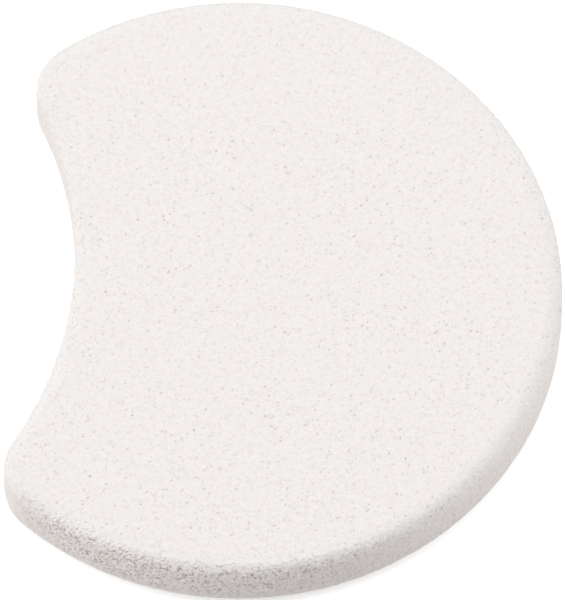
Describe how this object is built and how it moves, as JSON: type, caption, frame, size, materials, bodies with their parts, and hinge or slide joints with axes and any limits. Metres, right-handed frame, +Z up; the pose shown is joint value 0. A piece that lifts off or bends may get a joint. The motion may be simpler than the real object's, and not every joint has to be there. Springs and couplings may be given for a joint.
{
  "type": "nail buffer block",
  "caption": "Flat crescent foam buffing pad with rounded edges: a disc with a shallow round bite, laminated from fine abrasive faces on a resilient core.",
  "frame": {"origin": "centre of the disc that the pad is cut from, on the underside", "axes": "+Z up out of the upper buffing face, -X towards the bite, +Y across the two horn tips"},
  "size_m": [0.0546, 0.065, 0.0073],
  "materials": {
    "buffing_foam": "off-white fine-celled foam, matt, with a fine grit in its skin",
    "core_foam": "off-white open-celled foam, matt, its edge ground",
    "bond_film": "thin cream adhesive film"
  },
  "bodies": {
    "root": {"upper_buffing_face": "buffing_foam", "upper_bond_film": "bond_film", "foam_core": "core_foam", "lower_bond_film": "bond_film", "lower_buffing_face": "buffing_foam"}
  },
  "joints": []
}
